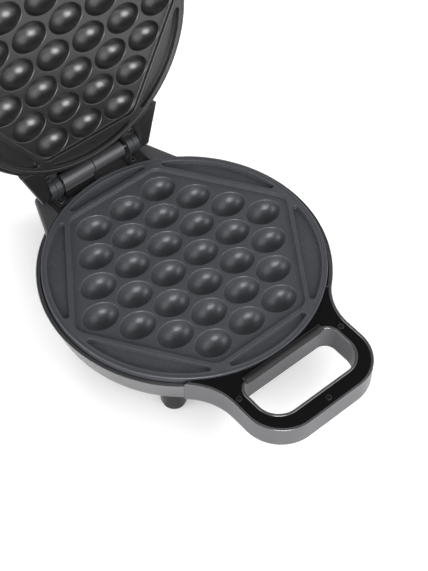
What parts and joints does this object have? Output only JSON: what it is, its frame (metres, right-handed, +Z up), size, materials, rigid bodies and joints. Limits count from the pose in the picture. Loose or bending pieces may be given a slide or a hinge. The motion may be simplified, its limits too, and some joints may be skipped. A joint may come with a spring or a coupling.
{
  "type": "bubble waffle maker",
  "caption": "Round two-plate waffle maker with egg-shaped dimples, hinged lid, loop handles, release latch and rubber feet.",
  "frame": {"origin": "on the table, under the centre of the round base", "axes": "+X along the hinge to the right, -Y towards the handle, +Z up; the lid stands open at rest"},
  "size_m": [0.191, 0.2925, 0.2902],
  "materials": {
    "housing_grey": "satin",
    "cover_black": "gloss",
    "plate_coating": "dark non-stick coating on cast aluminium",
    "hinge_dark": "satin",
    "tube_grey": "satin",
    "screw_black": "satin",
    "pin_steel": "brushed",
    "rod_steel": "oxidised",
    "pan_steel": "mill",
    "foot_rubber": "matte",
    "wire_sleeve": "matte",
    "part_black": "matte",
    "block_white": "matte",
    "lens_red": "clear red",
    "board_green": "matte"
  },
  "bodies": {
    "base": {"base_bracket_left": "hinge_dark", "base_bracket_right": "hinge_dark", "base_bracket_screws": "screw_black", "base_clamp_screws": "pin_steel", "base_cover_screws": "screw_black", "base_handle_cover": "cover_black", "base_heat_pan": "pan_steel", "base_heating_rod": "rod_steel", "base_housing": "housing_grey", "base_plate": "plate_coating", "base_plate_screws": "pin_steel", "base_rod_clamps": "pan_steel", "base_wire_lead": "wire_sleeve", "base_wire_tube": "tube_grey", "catch_strip": "cover_black", "cord_gland": "part_black", "gland_nut": "part_black", "hinge_pin_left": "pin_steel", "hinge_pin_right": "pin_steel", "rubber_feet": "foot_rubber", "terminal_block": "block_white", "thermal_fuse": "block_white", "thermostat": "part_black", "thermostat_screws": "pin_steel"},
    "lid": {"lamp_board": "board_green", "lamp_lenses": "lens_red", "latch_pin": "pin_steel", "lid_bracket_left": "hinge_dark", "lid_bracket_right": "hinge_dark", "lid_bracket_screws": "screw_black", "lid_clamp_screws": "pin_steel", "lid_cover_screws": "screw_black", "lid_handle_cover": "cover_black", "lid_heat_pan": "pan_steel", "lid_heating_rod": "rod_steel", "lid_housing": "housing_grey", "lid_plate": "plate_coating", "lid_plate_screws": "pin_steel", "lid_rod_clamps": "pan_steel", "lid_wire_lead": "wire_sleeve", "lid_wire_tube": "tube_grey"},
    "latch": {"latch": "cover_black"}
  },
  "joints": [
    {"name": "lid_hinge", "type": "hinge", "parent": "base", "child": "lid", "pos_m": [0, 0.099, 0.051], "axis": [1, 0, 0], "range_deg": [0, 98.5]},
    {"name": "latch_pivot", "type": "hinge", "parent": "lid", "child": "latch", "pos_m": [0, 0.13345, 0.24767], "axis": [1, 0, 0], "range_deg": [0, 15]}
  ]
}
